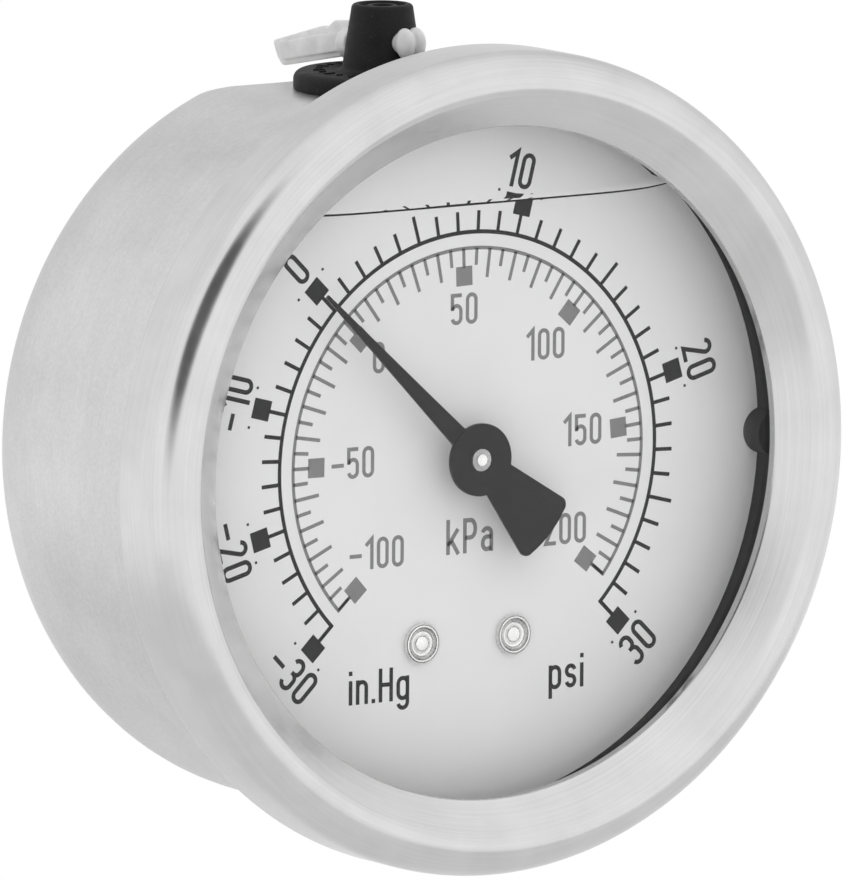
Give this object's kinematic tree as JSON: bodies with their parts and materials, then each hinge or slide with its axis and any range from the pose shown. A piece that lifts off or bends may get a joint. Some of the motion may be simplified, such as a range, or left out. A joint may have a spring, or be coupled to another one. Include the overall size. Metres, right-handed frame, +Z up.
{
  "type": "pressure gauge",
  "caption": "Round liquid-filled compound pressure gauge: steel case and bezel, dial with pointer, rubber fill plug with vent pin, threaded back stem.",
  "frame": {"origin": "on the gauge axis, at the shoulder where the connection thread begins", "axes": "+Z up, the dial faces -Y, the connection stem leaves along +Y, +X is right as seen from the front"},
  "size_m": [0.068, 0.0585, 0.07],
  "materials": {
    "case_steel": "fine blasted stainless, satin",
    "bezel_steel": "satin-polished stainless",
    "window_clear": "clear polished",
    "black_rubber": "matt moulded rubber",
    "dial_white": "satin white lacquer with printed scales",
    "screw_steel": "bright turned steel",
    "brass": "turned and milled brass",
    "bronze": "drawn bronze tube",
    "spring_bronze": "fine rolled strip",
    "pointer_black": "matt black lacquer",
    "nylon": "translucent natural nylon"
  },
  "bodies": {
    "case": {"case": "case_steel", "bezel": "bezel_steel", "window": "window_clear", "window_gasket": "black_rubber", "dial": "dial_white", "dial_screws": "screw_steel", "dial_posts": "brass", "socket": "brass", "socket_o_ring": "black_rubber", "restrictor": "brass", "case_screws": "screw_steel", "bourdon_tube": "bronze", "movement_back_plate": "brass", "movement_front_plate": "brass", "plate_pillars": "brass", "plate_screws": "screw_steel", "movement_screws": "screw_steel", "hairspring": "spring_bronze", "hairspring_stud": "brass", "fill_plug": "black_rubber"},
    "pointer": {"pointer": "pointer_black", "pointer_bush": "screw_steel", "pinion_arbor": "screw_steel", "hairspring_collet": "brass"},
    "sector": {"sector_gear": "brass", "sector_arbor": "screw_steel", "tail_pin": "screw_steel"},
    "tube_tip": {"tube_tip": "brass", "tip_pin": "screw_steel"},
    "link": {"link": "brass"},
    "vent_pin": {"vent_pin": "nylon"}
  },
  "joints": [
    {"name": "sector_pivot", "type": "hinge", "parent": "case", "child": "sector", "pos_m": [0.01011, -0.03, -0.00848], "axis": [0, 1, 0], "range_deg": [-18.11, 8.89], "stiffness_Nm_per_rad": 0.006, "deforming": ["bourdon_tube"]},
    {"name": "pointer_spin", "type": "hinge", "parent": "case", "child": "pointer", "pos_m": [0, -0.03, 0], "axis": [0, 1, 0], "range_deg": [-88.9, 181.1], "deforming": ["hairspring"]},
    {"name": "tip_swing", "type": "hinge", "parent": "case", "child": "tube_tip", "pos_m": [-0.00746, -0.0205, 0.00633], "axis": [0, 1, 0], "range_deg": [-3.91, 1.92]},
    {"name": "link_swing", "type": "hinge", "parent": "tube_tip", "child": "link", "pos_m": [0.0184, -0.0293, -0.0036], "axis": [0, 1, 0], "range_deg": [-1.88, 3.82]},
    {"name": "vent_pin_pull", "type": "slide", "parent": "case", "child": "vent_pin", "axis": [0, 0.9945, -0.1045], "range_m": [0, 0.009], "deforming": ["vent_pin"]}
  ],
  "couplings": [
    {"joint": "pointer_spin", "follows": "sector_pivot", "ratio": -10},
    {"joint": "tip_swing", "follows": "sector_pivot", "ratio": 0.21561},
    {"joint": "link_swing", "follows": "sector_pivot", "ratio": -0.2107}
  ]
}
